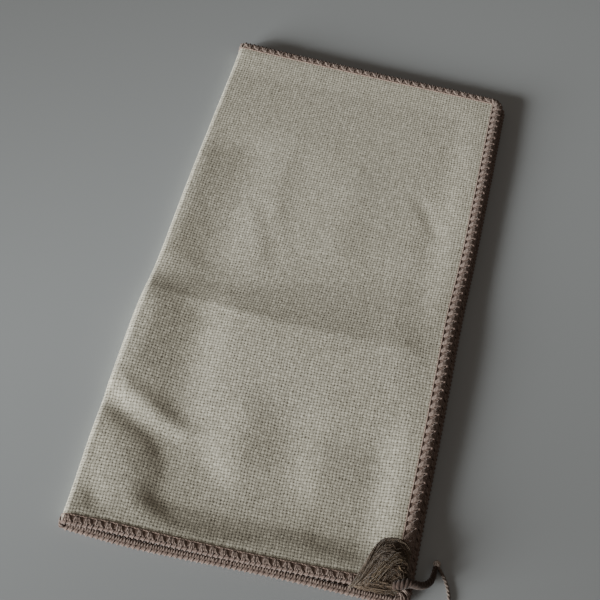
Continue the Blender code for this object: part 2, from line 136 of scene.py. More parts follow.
# Soft creases of the upper layer: from x, from y, to x, to y, half width, height
CREASE_ROWS = (
    # Bulge along the fold, and the long dip beside it
    (-72.0, -34.0, -72.0, -66.0, 12.0, 1.9),
    (-46.0, -34.0, -42.0, -84.0, 11.0, -1.4),
    (-74.0, 60.0, -74.0, 0.0, 10.0, 0.7),
    (-48.0, 70.0, -48.0, 4.0, 13.0, -1.0),
    (-52.0, 24.0, -52.0, 4.0, 10.0, -0.5),
    # Slanting fold at the near left: ridge, then the valley on its near side
    (-78.0, -76.0, -38.0, -96.0, 5.5, 0.9),
    (-72.0, -90.0, -38.0, -106.0, 5.5, -1.0),
    # Near left corner: pressed up by the fold, with a trough beside it
    (-66.0, -108.0, -42.0, -143.0, 13.0, 0.9),
    (-37.0, -105.0, -19.0, -131.0, 12.0, -1.8),
    (-66.0, -136.0, -63.0, -141.0, 4.0, -0.8),
    # Dip behind the near border, deeper at two dents
    (-30.0, -124.0, 62.0, -123.0, 13.0, -1.9),
    (-20.0, -108.0, 62.0, -106.0, 30.0, -1.0),
    (-41.0, -129.0, -30.0, -136.0, 6.0, -0.9),
    (-10.0, -134.0, 2.0, -134.0, 6.0, -1.4),
    (34.0, -128.0, 46.0, -129.0, 7.0, -1.2),
    # Low waves that run away from the near border
    (-13.0, -80.0, -14.0, -122.0, 9.5, 0.8),
    (10.0, -84.0, 11.0, -118.0, 12.0, -0.8),
    (22.0, -92.0, 22.0, -124.0, 9.0, 0.6),
    (50.0, -86.0, 50.0, -118.0, 12.0, -1.0),
    (45.0, 24.0, 46.0, -20.0, 12.0, 0.5),
    # Small creases of the far half
    (-34.0, 40.0, -22.0, 10.0, 4.0, -0.3),
    (42.0, 64.0, 52.0, 46.0, 4.0, -0.35),
    (-20.0, 72.0, -18.0, 22.0, 8.0, -0.4),
    (8.0, 70.0, 6.0, 24.0, 9.0, 0.4),
)

# Crosswise facet of the upper layer: x, y of its near crease, y of its far crease, height
# of the ridge on the near one, depth of the trough on the far one
FACET_ROWS = (
    (-78.0, -25.0, -12.0, 0.7, -0.5),
    (-60.0, -25.0, -12.0, 0.9, -0.6),
    (-42.0, -26.0, -12.0, 1.2, -0.8),
    (-6.0, -28.0, -2.0, 1.5, -1.0),
    (20.0, -28.0, 7.0, 1.9, -1.2),
    (65.0, -27.0, 21.0, 2.3, -1.2),
    (76.0, -27.0, 24.0, 2.3, -1.2),
)
# Ease of its slope, and how fast it fades on its near side and on its far side
FACET_EASE = 0.35
FACET_NEAR_FADE = 42.0
FACET_FAR_FADE = 55.0

# Rise of the upper free edge along the length: y, rise. It starts and is full at these
# distances from the fold
EDGE_RISE_ROWS = (
    (-150.0, 0.0),
    (-95.0, 0.2),
    (-62.0, 0.9),
    (-25.0, 1.4),
    (12.0, 0.3),
    (48.0, 0.0),
    (100.0, 0.5),
    (150.0, 0.0),
)
EDGE_RISE_START = 20.0
EDGE_RISE_FULL = 120.0

# Weave: yarn pitch across and along the sheet, colours, relief in metres and its strength
YARN_ACROSS = 1.435
YARN_ALONG = 1.518
# Dark end: painted shade in the holes and low between yarns; light end: painted highlight on the yarns'
# crowns; the cotton's own random tones lie between
COTTON_DARK = (0.21, 0.198, 0.158, 1.0)
COTTON_LIGHT = (0.86, 0.848, 0.725, 1.0)
TINT_WARM = (0.95, 0.94, 0.91, 1.0)
TINT_PLAIN = (1.0, 1.0, 1.0, 1.0)
TINT_SCALE = 9.0
WEAVE_RELIEF = 0.00036
WEAVE_BUMP = 0.40

# Wander of the yarns: slow waves to a side of the cloth for the warp and for the weft with
# their reach in yarns, then quick waves to a yarn, across it and along it, with theirs
SLOW_WARP = 34.0
SLOW_WEFT = 75.0
SLOW_REACH = 0.9
QUICK_ACROSS = 0.8
QUICK_ALONG = 0.4
QUICK_REACH = 0.65

# Section of a yarn, in yarns: half width, height and swell, each with its spread
YARN_WIDTH = 0.43
YARN_WIDTH_SPREAD = 0.09
YARN_HEIGHT = 0.72
YARN_SWELL = 0.14
YARN_SWELL_SPREAD = 0.34

# Holes between yarns: start, spread and soft rim in yarns, depth and its spread
HOLE_START = 0.39
HOLE_SPREAD = 0.17
HOLE_RIM = 0.10
HOLE_DEPTH = 0.30
HOLE_DEPTH_SPREAD = 0.70

# Fibres: waves to a side of the cloth along and across a yarn, and their noise
FIBRES_ALONG = 420.0
FIBRES_ACROSS = 1500.0
FIBRE_DETAIL = 3.0
FIBRE_ROUGHNESS = 0.6

# Shares of the cotton's lightness: a base, painted highlight and shade by the yarns' height,
# the tones of crossings and yarns, fibres, and painted shade in the holes; then shares of
# its relief beside the yarns' own height
LIGHT_BASE = 0.03
PAINTED_LIGHT_BY_HEIGHT = 0.54
LIGHT_CROSSING = 0.08
LIGHT_YARN = 0.04
LIGHT_FIBRES = 0.24
PAINTED_SHADE_IN_HOLES = 0.52
RELIEF_FIBRES = 0.6
RELIEF_HOLE = 0.3

# Threads: run of one tone, waves of fibre to a millimetre, shift from strand to strand,
# scales of fibres and patches, plies, shares of the body and of the colour, relief in
# metres on the border and on loose threads, and its strength. The body's share of the
# colour is painted shade in the grooves between plies and painted highlight on their
# crowns, beside the fibres' own tone
TONE_RUN = 2.25
FIBRE_RATE = 0.7
STRAND_SHIFT = 9.7
FIBRE_SCALE = 2.6
PATCH_SCALE = 260.0
PLIES = 2.0
BODY_PLIES = 0.55
BODY_FIBRES = 0.45
COLOUR_PLY_SHADE_AND_FIBRES = 0.5
COLOUR_PATCHES = 0.2
COLOUR_TONE = 0.3
BORDER_RELIEF = 0.0002
LOOSE_RELIEF = 0.0001
THREAD_BUMP = 0.7

# Roughness of the sheen, part of a tube's side that its UV covers, least length to divide
# by, and least gap between a thread and the table
SHEEN_ROUGHNESS = 0.5
SIDE_UV_SHARE = 0.999
LEAST_LENGTH = 1e-9
TABLE_GAP = 0.02


def soft_step(low, high, value):
    """0 below low, 1 above high, and a smooth cubic between them."""
    share = np.clip((value - low) / (high - low), 0.0, 1.0)
    return share * share * (3.0 - 2.0 * share)


def unit(vectors):
    """The vectors at length one."""
    return vectors / np.maximum(np.linalg.norm(vectors, axis=-1, keepdims=True), LEAST_LENGTH)


def row_value(rows, column, place):
    """A table column at place: straight between rows, then averaged over a short reach."""
    table = np.array(rows)
    steps = np.linspace(-ROW_BLEND, ROW_BLEND, ROW_SAMPLES)
    samples = [np.interp(place + step, table[:, 0], table[:, column]) for step in steps]
    return np.mean(samples, axis=0)


def fold_side(y):
    """x of the outside of the fold."""
    return row_value(SIDE_ROWS, 1, y)


def upper_side(y):
    """x of the cut edge of the upper layer."""
    return row_value(SIDE_ROWS, 2, y) - BORDER_REACH_OUT


def lower_side(y):
    """x of the cut edge of the lower layer."""
    return row_value(SIDE_ROWS, 3, y) - BORDER_REACH_OUT


def near_end(across):
    """y of the cut edge at the near end."""
    return row_value(END_ROWS, 1, across) + BORDER_REACH_OUT


def far_end(across):
    """y of the cut edge at the far end."""
    return row_value(END_ROWS, 2, across) - BORDER_REACH_OUT


def crease_height(x, y):
    """Sum of the soft creases: each is a bell of the distance to its own line."""
    total = 0.0 * x
    for x_0, y_0, x_1, y_1, width, height in CREASE_ROWS:
        run_x = x_1 - x_0
        run_y = y_1 - y_0
        share = np.clip(((x - x_0) * run_x + (y - y_0) * run_y) / (run_x**2 + run_y**2), 0.0, 1.0)
        distance = np.hypot(x - x_0 - share * run_x, y - y_0 - share * run_y)
        total = total + height * np.exp(-((distance / width) ** 2))
    return total


def facet_height(x, y):
    """A ridge on the near crease, a slope to the far crease that eases, soft beyond both."""
    near, far, ridge, trough = (row_value(FACET_ROWS, column, x) for column in (1, 2, 3, 4))
    share = np.clip((y - near) / (far - near), 0.0, 1.0)
    slope = ridge + (trough - ridge) * share * (1.0 + FACET_EASE * (1.0 - share))
    before = ridge * np.exp(-((np.minimum(y - near, 0.0) / FACET_NEAR_FADE) ** 2))
    beyond = trough * np.exp(-((np.maximum(y - far, 0.0) / FACET_FAR_FADE) ** 2))
    return np.where(y < near, before, np.where(y > far, beyond, slope))


def edge_share(from_side, across, y):
    """1 under the border and 0 well inside it: a bulged ramp by a smooth step from the sides."""
    from_ends = np.minimum(y - near_end(across), far_end(across) - y)
    ramp = np.clip((from_ends - EDGE_BAND_START) / (EDGE_BAND_ENDS - EDGE_BAND_START), 0.0, 1.0)
    inward = ramp * (1.0 + EDGE_BAND_BULGE * (1.0 - ramp))
    return 1.0 - inward * soft_step(EDGE_BAND_START, EDGE_BAND_SIDE, from_side)


def lower_level(x, y):
    """Height of the middle of the lower layer: flat inside, lifted by the border."""
    share = edge_share(lower_side(y) - x, fold_side(y) - x, y)
    return INSIDE_LEVEL_LOWER + (EDGE_LEVEL_LOWER - INSIDE_LEVEL_LOWER) * share


def upper_level(x, y):
    """Height of the middle of the upper layer.

    Inside it is the facet and the creases over a flat level, kept off the lower layer by a
    hyperbola. Under the border it is the border's height with its rise and its spring.
    """
    from_fold = x - fold_side(y)
    inside = INSIDE_LEVEL_UPPER + facet_height(x, y) + crease_height(x, y)
    over = inside - LEAST_LEVEL_UPPER
    inside = LEAST_LEVEL_UPPER + 0.5 * (over + np.hypot(over, LEAST_BLEND))
    rise = row_value(EDGE_RISE_ROWS, 1, y)
    rise = rise * soft_step(EDGE_RISE_START, EDGE_RISE_FULL, from_fold)
    spring = FOLD_SPRING * np.exp(-from_fold / FOLD_SPRING_REACH)
    border = EDGE_LEVEL_UPPER + rise + spring
    share = edge_share(upper_side(y) - x, from_fold, y)
    return inside + (border - inside) * share


def fold_shape(y):
    """Centre x, centre z and radius of the half circle that joins the two layers."""
    probe = fold_side(y) + FOLD_PROBE
    low = lower_level(probe, y)
    high = upper_level(probe, y)
    radius = 0.5 * (high - low)
    return fold_side(y) + HALF_SOLID_SHEET + radius, 0.5 * (high + low), radius


def section_point(across, y):
    """Middle of the sheet at a distance from the fold: half circle, then the level run."""
    centre_x, centre_z, radius = fold_shape(y)
    past = np.maximum(np.abs(across) - 0.5 * math.pi * radius, 0.0)
    angle = np.clip(across / radius, -0.5 * math.pi, 0.5 * math.pi)
    x = centre_x - radius * np.cos(angle) + past
    arc_z = centre_z + radius * np.sin(angle)
    level = np.where(across > 0.0, upper_level(x, y), lower_level(x, y))
    z = arc_z + (level - arc_z) * soft_step(0.0, FOLD_BLEND, past)
    return np.stack([x, y, z], axis=-1)


def surface(flat_u, flat_v):
    """Middle of the folded sheet at a point of the flat one, and the normal to its outside.

    The flat point is stretched to the real ends along the length, and then to the real free
    edges across it. The normal is square to a short run across the sheet.
    """
    near = near_end(flat_u)
    far = far_end(flat_u)
    y = near + (far - near) * (flat_v + HALF_LENGTH) / (2.0 * HALF_LENGTH)
    centre_x, _, radius = fold_shape(y)
    half_arc = 0.5 * math.pi * radius
    side = np.where(flat_u > 0.0, upper_side(y), lower_side(y))
    across = flat_u * (half_arc + side - centre_x) / HALF_ACROSS
    run = section_point(across + PROBE_STEP, y) - section_point(across - PROBE_STEP, y)
    normal = unit(np.stack([-run[..., 2], 0.0 * y, run[..., 0]], axis=-1))
    return section_point(across, y), normal


def make_piece(name, points, faces, finish, corner_uv, uv_name="thread"):
    """A mesh piece from points in millimetres, on the root body, with its UV map."""
    mesh = bpy.data.meshes.new(name)
    mesh.from_pydata((points.reshape(-1, 3) * MILLIMETRE).tolist(), [], faces.tolist())
    layer = mesh.uv_layers.new(name=uv_name)
    layer.data.foreach_set("uv", corner_uv.astype(np.float32).ravel())
    mesh.materials.append(finish)
    mesh.shade_smooth()
    piece = bpy.data.objects.new(name, mesh)
    bpy.context.scene.collection.objects.link(piece)
    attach(piece, "root")
    return piece


def give_thickness(piece, thickness):
    """A wall of that thickness, laid evenly on both sides of the piece's surface."""
    wall = piece.modifiers.new("thickness", "SOLIDIFY")
    wall.thickness = thickness * MILLIMETRE
    wall.offset = 0.0


def grid_quads(columns, rows):
    """Corner indices of a grid's quads, for points stored row by row along each column."""
    first = (np.arange(columns - 1)[:, None] * rows + np.arange(rows - 1)[None, :]).ravel()
    return np.stack([first, first + rows, first + rows + 1, first + 1], axis=1)


def ring_points(middle, tangent, reference, side_radius, top_radius, sides):
    """Rings of points round lines: ellipses square to the tangent.

    One radius lies towards the reference direction, and the other across it.
    """
    side = unit(reference - (reference * tangent).sum(-1, keepdims=True) * tangent)
    top = np.cross(tangent, side)
    turn = (2.0 * math.pi * np.arange(sides) / sides)[:, None]
    side_radius = np.broadcast_to(side_radius, middle.shape[:-1])[..., None, None]
    top_radius = np.broadcast_to(top_radius, middle.shape[:-1])[..., None, None]
    return (
        middle[..., None, :]
        + side[..., None, :] * side_radius * np.cos(turn)
        + top[..., None, :] * top_radius * np.sin(turn)
    )


def tube_walls(ring, following, start, stop, number, sides):
    """Quads and corner UVs of a tube's walls, from each ring of points to the following one.

    The UV is the length along the line in millimetres, and the strand's number plus the
    share of a turn round it.
    """
    here = np.arange(sides)
    after = (here + 1) % sides
    quads = np.stack([ring + here, ring + after, following + after, following + here], axis=-1)
    low = number + here / sides
    high = low + SIDE_UV_SHARE / sides
    corners = np.broadcast_arrays(start, low, start, high, stop, high, stop, low)
    return quads.reshape(-1, 4), np.stack(corners, axis=-1).reshape(-1, 8)


def strands(name, lines, side_radius, top_radius, sides, finish, reference=(0.0, 0.0, 1.0)):
    """One piece of many closed tubes, each along its own line of points.

    Without a reference of their own the rings stand upright. A tube's ends are fans of
    quads, so its sides are even in number.
    """
    count, steps, _ = lines.shape
    tangent = unit(np.gradient(lines, axis=1))
    points = ring_points(lines, tangent, np.array(reference), side_radius, top_radius, sides)
    number = np.arange(count)[:, None, None]
    first = number * steps * sides
    ring = first + np.arange(steps - 1)[:, None] * sides
    run = np.zeros((count, steps, 1))
    run[:, 1:, 0] = np.cumsum(np.linalg.norm(np.diff(lines, axis=1), axis=-1), axis=1)
    walls, wall_uv = tube_walls(ring, ring + sides, run[:, :-1], run[:, 1:], number, sides)
    fan = np.arange(1, sides - 2, 2)
    fan = np.stack([0 * fan, fan, fan + 1, fan + 2], axis=1)
    ends = np.concatenate([first + fan[:, ::-1], first + (steps - 1) * sides + fan], axis=1)
    ends = ends.reshape(-1, 4)
    uv = np.concatenate([wall_uv, np.zeros((len(ends), 8))])
    return make_piece(name, points, np.concatenate([walls, ends]), finish, uv)


class Value:
    """One output socket, with arithmetic that adds Math nodes to its material."""

    def __init__(self, finish, socket):
        self.finish = finish
        self.socket = socket

    def math(self, operation, *others):
        """The Math node of that operation on this value and the others."""
        inputs = dict(enumerate((self, *others)))
        return self.finish.output("Value", "ShaderNodeMath", {"operation": operation}, inputs)

    def __add__(self, other):
        return self.math("ADD", other)

    __radd__ = __add__

    def __sub__(self, other):
        return self.math("SUBTRACT", other)

    def __rsub__(self, other):
        inputs = {0: other, 1: self}
        return self.finish.output("Value", "ShaderNodeMath", {"operation": "SUBTRACT"}, inputs)

    def __mul__(self, other):
        return self.math("MULTIPLY", other)

    __rmul__ = __mul__

    def __truediv__(self, other):
        return self.math("DIVIDE", other)

    def __pow__(self, other):
        return self.math("POWER", other)


class Finish:
    """One material: its Principled shader and the nodes that feed it."""

    def __init__(self, name, roughness, sheen=0.0, specular=0.3):
        self.material = bpy.data.materials.new(name)
        self.material.use_nodes = True
        self.tree = self.material.node_tree
        self.shader = self.tree.nodes["Principled BSDF"]
        self.shader.inputs["Roughness"].default_value = roughness
        self.shader.inputs["Metallic"].default_value = 0.0
        self.shader.inputs["Specular IOR Level"].default_value = specular
        self.shader.inputs["Sheen Weight"].default_value = sheen
        self.shader.inputs["Sheen Roughness"].default_value = SHEEN_ROUGHNESS

    def plug(self, socket, value):
        """Links a value or a socket, or sets a constant."""
        if isinstance(value, Value):
            value = value.socket
        if isinstance(value, bpy.types.NodeSocket):
            self.tree.links.new(value, socket)
        else:
            socket.default_value = value

    def add(self, kind, settings=None, inputs=None):
        """A node of that type: its settings first, then the values or links it takes."""
        node = self.tree.nodes.new(kind)
        for key, value in (settings or {}).items():
            setattr(node, key, value)
        for key, value in (inputs or {}).items():
            self.plug(node.inputs[key], value)
        return node

    def output(self, name, kind, settings=None, inputs=None):
        """The named output of a new node, ready for arithmetic."""
        return Value(self, self.add(kind, settings, inputs).outputs[name])

    def noise(self, vector, scale, detail=2.0, roughness=0.5):
        """Smooth noise from 0 to 1."""
        inputs = {"Vector": vector, "Scale": scale, "Detail": detail, "Roughness": roughness}
        return self.output("Fac", "ShaderNodeTexNoise", None, inputs)

    def flat_noise(self, flat, first, second, detail=2.0, roughness=0.5):
        """Smooth noise from 0 to 1 on a flat vector, whose two parts have a scale each."""
        inputs = {0: flat, 1: (first, second, 1.0)}
        place = self.output("Vector", "ShaderNodeVectorMath", {"operation": "MULTIPLY"}, inputs)
        return self.noise(place, 1.0, detail, roughness)

    def random(self, first, second):
        """White noise from 0 to 1 for a pair of numbers."""
        pair = self.output("Vector", "ShaderNodeCombineXYZ", None, {"X": first, "Y": second})
        settings = {"noise_dimensions": "2D"}
        return self.output("Value", "ShaderNodeTexWhiteNoise", settings, {"Vector": pair})

    def mix(self, factor, first, second):
        """A colour between two colours."""
        node = self.add("ShaderNodeMix", {"data_type": "RGBA"}, {0: factor, 6: first, 7: second})
        return Value(self, node.outputs[2])

    def bump(self, height, distance, strength):
        """A Bump node on the shader's Normal."""
        inputs = {"Height": height, "Distance": distance, "Strength": strength}
        node = self.add("ShaderNodeBump", None, inputs)
        self.plug(self.shader.inputs["Normal"], node.outputs["Normal"])


def cotton_finish():
    """Undyed plain weave, worked out yarn by yarn.

    Warp i lies at across = i and weft j at along = j. A yarn is a half ellipse across its
    run and a cosine along it, and the higher of the two shows. Every crossing has a tone
    and a swell of its own, and every hole between four yarns its own size and depth. The
    cotton's colour is painted lighter by the square of the height, which is painted highlight
    on the yarns' crowns and painted shade low between them. It is painted darker in the
    holes, where shade falls.
    """
    finish = Finish("cotton_weave", roughness=0.92, sheen=0.15, specular=0.15)
    flat = finish.output("UV", "ShaderNodeUVMap", {"uv_map": "flat"})
    count_u = 2.0 * HALF_ACROSS / YARN_ACROSS
    count_v = 2.0 * HALF_LENGTH / YARN_ALONG

    slow_warp = finish.flat_noise(flat, SLOW_WARP, SLOW_WARP)
    slow_weft = finish.flat_noise(flat, SLOW_WEFT, SLOW_WEFT)
    quick_warp = finish.flat_noise(flat, QUICK_ACROSS * count_u, QUICK_ALONG * count_v, 1.0)
    quick_weft = finish.flat_noise(flat, QUICK_ALONG * count_u, QUICK_ACROSS * count_v, 1.0)
    split = finish.add("ShaderNodeSeparateXYZ", None, {"Vector": flat})
    across = Value(finish, split.outputs["X"]) * count_u + (slow_warp - 0.5) * SLOW_REACH
    along = Value(finish, split.outputs["Y"]) * count_v + (slow_weft - 0.5) * SLOW_REACH
    across = across + (quick_warp - 0.5) * QUICK_REACH
    along = along + (quick_weft - 0.5) * QUICK_REACH

    warp = across.math("ROUND")
    weft = along.math("ROUND")
    warp_tone = finish.random(warp, 0.0)
    weft_tone = finish.random(0.0, weft)
    crossing = finish.random(warp, weft)
    from_warp = (across - warp).math("ABSOLUTE")
    from_weft = (along - weft).math("ABSOLUTE")
    width = YARN_WIDTH + crossing * YARN_WIDTH_SPREAD
    warp_round = (1.0 - (from_warp / width) ** 2.0).math("MAXIMUM", 0.0).math("SQRT")
    weft_round = (1.0 - (from_weft / width) ** 2.0).math("MAXIMUM", 0.0).math("SQRT")
    warp_wave = ((along + warp) * math.pi).math("COSINE")
    weft_wave = ((across + weft) * math.pi).math("COSINE") * -1.0
    swell = YARN_SWELL + crossing * YARN_SWELL_SPREAD
    warp_top = warp_round * (YARN_HEIGHT + warp_wave * swell)
    weft_top = weft_round * (YARN_HEIGHT + weft_wave * swell)
    height = warp_top.math("MAXIMUM", weft_top)

    hole_seed = finish.random(across.math("FLOOR"), along.math("FLOOR") + 0.5)
    corner = from_warp.math("MINIMUM", from_weft)
    hole = (corner - HOLE_START + hole_seed * HOLE_SPREAD) / HOLE_RIM
    hole = hole.math("MAXIMUM", 0.0).math("MINIMUM", 1.0)
    hole = hole * (HOLE_DEPTH + hole_seed * HOLE_DEPTH_SPREAD)

    look = (FIBRE_DETAIL, FIBRE_ROUGHNESS)
    warp_fibres = finish.flat_noise(flat, FIBRES_ACROSS, FIBRES_ALONG, *look)
    weft_fibres = finish.flat_noise(flat, FIBRES_ALONG, FIBRES_ACROSS, *look)
    on_warp = warp_top.math("GREATER_THAN", weft_top)
    fibres = weft_fibres + (warp_fibres - weft_fibres) * on_warp
    # Lightness: painted highlight and shade by the square of the yarns' height, their own random tones
    # and fibres, and painted shade in the holes
    light = LIGHT_BASE + height**2.0 * PAINTED_LIGHT_BY_HEIGHT + crossing * LIGHT_CROSSING
    light = light + (warp_tone + weft_tone) * LIGHT_YARN + fibres * LIGHT_FIBRES - hole * PAINTED_SHADE_IN_HOLES
    thread = finish.mix(light.math("MAXIMUM", 0.0), COTTON_DARK, COTTON_LIGHT)
    tint = finish.mix(finish.flat_noise(flat, TINT_SCALE, TINT_SCALE, 3.0), TINT_WARM, TINT_PLAIN)
    settings = {"data_type": "RGBA", "blend_type": "MULTIPLY"}
    shade = finish.add("ShaderNodeMix", settings, {0: 1.0, 6: thread, 7: tint})
    finish.plug(finish.shader.inputs["Base Color"], shade.outputs[2])
    relief = height + (fibres - 0.5) * RELIEF_FIBRES - hole * RELIEF_HOLE
    finish.bump(relief, WEAVE_RELIEF, WEAVE_BUMP)
    return finish.material


def thread_finish(name, dark, light, twist, relief=BORDER_RELIEF):
    """Soft bulky thread: plies that slant round it, fibres along it, tones by the strand.

    Plies are a sine of length / twist plus a turn for each ply. The fibres are noise on a
    cylinder, (length, cosine, sine) of the strand, drawn out along its length. Both make the
    relief and also the colour. The plies' part is painted shade in the grooves between plies
    and painted highlight on their crowns, and the fibres' part is the thread's own tone.
    """
    finish = Finish(name, roughness=0.85, sheen=0.25, specular=0.25)
    run = finish.output("UV", "ShaderNodeUVMap", {"uv_map": "thread"})
    split = finish.add("ShaderNodeSeparateXYZ", None, {"Vector": run})
    length = Value(finish, split.outputs["X"])
    turn = Value(finish, split.outputs["Y"])
    strand = turn.math("FLOOR")
    tone = finish.random(strand, (length / TONE_RUN).math("FLOOR"))
    angle = turn * (2.0 * math.pi)
    run_on = length * FIBRE_RATE + strand * STRAND_SHIFT
    parts = {"X": run_on, "Y": angle.math("COSINE"), "Z": angle.math("SINE")}
    cylinder = finish.output("Vector", "ShaderNodeCombineXYZ", None, parts)
    fibres = finish.noise(cylinder, FIBRE_SCALE, FIBRE_DETAIL, FIBRE_ROUGHNESS)
    place = finish.output("Object", "ShaderNodeTexCoord")
    patches = finish.noise(place, PATCH_SCALE)
    plies = ((length / twist + turn * PLIES) * (2.0 * math.pi)).math("SINE") * 0.5 + 0.5
    body = plies * BODY_PLIES + fibres * BODY_FIBRES
    # Colour: painted shade and highlight by the plies, the fibres' own tone, patches and strand tones
    share = body * COLOUR_PLY_SHADE_AND_FIBRES + patches * COLOUR_PATCHES + tone * COLOUR_TONE
    finish.plug(finish.shader.inputs["Base Color"], finish.mix(share, dark, light))
    finish.bump(body, relief, THREAD_BUMP)
    return finish.material


def rounded(flat_u, flat_v):
    """Flat points with the sheet's square corners drawn in to quarter circles."""
    over_u = np.maximum(np.abs(flat_u) - (HALF_ACROSS - CORNER_RADIUS), 0.0) / CORNER_RADIUS
    over_v = np.maximum(np.abs(flat_v) - (HALF_LENGTH - CORNER_RADIUS), 0.0) / CORNER_RADIUS
    shift_u = over_u * (1.0 - np.sqrt(1.0 - 0.5 * over_v**2)) * CORNER_RADIUS
    shift_v = over_v * (1.0 - np.sqrt(1.0 - 0.5 * over_u**2)) * CORNER_RADIUS
    return flat_u - np.sign(flat_u) * shift_u, flat_v - np.sign(flat_v) * shift_v


def make_sheet(finish):
    """The cloth: a fine grid on the folded surface, finer round the fold."""
    past_fold = FOLD_STRIP + FOLD_POINT_STEP
    lower = np.linspace(-HALF_ACROSS, -past_fold, LOWER_POINTS)
    fold = np.linspace(-FOLD_STRIP, FOLD_STRIP, FOLD_POINTS)
    upper = np.linspace(past_fold, HALF_ACROSS, UPPER_POINTS)
    columns = np.concatenate([lower, fold, upper])
    rows = np.linspace(-HALF_LENGTH, HALF_LENGTH, LENGTH_POINTS)
    grid_u, grid_v = np.meshgrid(columns, rows, indexing="ij")
    middle, _ = surface(*rounded(grid_u, grid_v))
    faces = grid_quads(len(columns), len(rows))
    uv = np.stack([grid_u / (2.0 * HALF_ACROSS), grid_v / (2.0 * HALF_LENGTH)], axis=-1) + 0.5
    uv = uv.reshape(-1, 2)[faces]
    sheet = make_piece("cloth_sheet", middle, faces, finish, uv, "flat")
    give_thickness(sheet, 2.0 * HALF_SHEET)
    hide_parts("cloth")
    return sheet


def edge_frame(distance):
    """Centre, outward, up and forward directions at a distance along the sheet's cut edge.

    The edge is a rectangle with round corners in the flat sheet. It starts at the near end
    of the upper layer's free side, and runs away along it. Up is the normal to the outside
    of the cloth, so on the lower layer it points down to the table.
    """
    straight_u = 2.0 * (HALF_ACROSS - CORNER_RADIUS)
    straight_v = 2.0 * (HALF_LENGTH - CORNER_RADIUS)
    corner = 0.5 * math.pi * CORNER_RADIUS
    side_run = straight_v + corner
    end_run = straight_u + corner
    distance = np.mod(distance, EDGE_TOTAL)
    flat = np.zeros(distance.shape + (2,))
    out = np.zeros(distance.shape + (2,))
    centre = np.array([HALF_ACROSS - CORNER_RADIUS, HALF_LENGTH - CORNER_RADIUS])
    runs = (
        (0.0, straight_v, (1.0, 0.0), (1.0, -1.0)),
        (side_run, straight_u, (0.0, 1.0), (1.0, 1.0)),
        (side_run + end_run, straight_v, (-1.0, 0.0), (-1.0, 1.0)),
        (2.0 * side_run + end_run, straight_u, (0.0, -1.0), (-1.0, -1.0)),
    )
    for start, straight, face, corner_sign in runs:
        along = distance - start
        own = (along >= 0.0) & (along < straight + corner)
        turn = np.maximum(along[own] - straight, 0.0)[:, None] / CORNER_RADIUS
        step = np.minimum(along[own], straight)[:, None]
        face = np.array(face)
        way = np.array([-face[1], face[0]])
        out[own] = face * np.cos(turn) + way * np.sin(turn)
        flat[own] = np.array(corner_sign) * centre + way * step + CORNER_RADIUS * out[own]
    middle, normal = surface(flat[..., 0], flat[..., 1])
    probe = PROBE_STEP * out
    ahead, _ = surface(flat[..., 0] + probe[..., 0], flat[..., 1] + probe[..., 1])
    behind, _ = surface(flat[..., 0] - probe[..., 0], flat[..., 1] - probe[..., 1])
    outward = unit(ahead - behind)
    return middle, outward, normal, np.cross(normal, outward)


def along_edge(route, starts, slant, shake):
    """Lines of one stitch route laid at every start, and the forward directions there.

    The route's columns are forward, outward and up, from the sheet's cut edge. Each stitch
    leans forward by its own slant for each millimetre outward, and is shifted a little
    every way by its own random share.
    """
    lean = slant[:, None] * (route[..., 1] - route[:, :1, 1])
    centre, outward, up, forward = edge_frame(starts[:, None] + route[..., 0] + lean)
    off = RANDOM.normal(0.0, 1.0, (len(starts), 1, 3)) * shake
    lines = (
        centre
        + forward * off[..., 0:1]
        + outward * (route[..., 1:2] + off[..., 1:2])
        + up * (route[..., 2:3] * (1.0 + LEG_LIFT_SHARE * off[..., 2:3]))
    )
    return lines, forward


def bent(rows, steps):
    """A smooth Catmull-Rom curve through the rows, in points spaced evenly between them."""
    knots = np.array(rows)
    first = 2.0 * knots[0] - knots[1]
    last = 2.0 * knots[-1] - knots[-2]
    padded = np.concatenate([[first], knots, [last]])
    place = np.linspace(0.0, len(knots) - 1.0, steps)
    index = np.minimum(place.astype(int), len(knots) - 2)
    t = (place - index)[:, None]
    a, b, c, d = (padded[index + k] for k in range(4))
    square = (2.0 * a - 5.0 * b + 4.0 * c - d) * t**2
    return 0.5 * (2.0 * b + (c - a) * t + square + (3.0 * b - a - 3.0 * c + d) * t**3)


# Threads of a stitch: forward step from thread to thread, outward, up, half width, half
# thickness. They leave the seam together on the outside of the cloth, spread out and turn
# round the cut edge at the last row; the other face has the same rows in mirror order.
# First for the cloth's ends, then for its sides
LEG_ROWS_ENDS = (
    (0.34, -3.70, 0.20, 0.36, 0.32),
    (0.40, -3.30, 0.58, 0.44, 0.38),
    (0.48, -2.50, 0.78, 0.52, 0.42),
    (0.64, -1.50, 0.80, 0.56, 0.42),
    (0.98, -0.55, 0.58, 0.58, 0.42),
    (1.13, 0.00, 0.00, 0.58, 0.42),
)
LEG_ROWS_SIDES = (
    (0.22, -4.95, 0.10, 0.34, 0.32),
    (0.36, -4.20, 0.66, 0.44, 0.48),
    (0.44, -3.10, 1.08, 0.54, 0.58),
    (0.54, -2.00, 1.22, 0.56, 0.56),
    (0.84, -0.80, 0.84, 0.56, 0.44),
    (1.13, 0.00, 0.00, 0.58, 0.42),
)
# Places of the four threads, in forward steps from the middle of their stitch, two a piece
LEG_PLACES_LEFT = (-1.5, -0.5)
LEG_PLACES_RIGHT = (0.5, 1.5)
# Lean forward for each millimetre outward, its spread from stitch to stitch, the spread of
# a thread's place and of its width, and the share of that place that goes into its height
LEG_SLANT_SIDES = 0.85
LEG_SLANT_ENDS = 0.22
LEG_SLANT_SPREAD = 0.05
LEG_SPREAD = 0.07
LEG_WIDTH_SPREAD = 0.07
LEG_LIFT_SHARE = 0.3
LEG_STEPS = 15
LEG_SIDES = 6

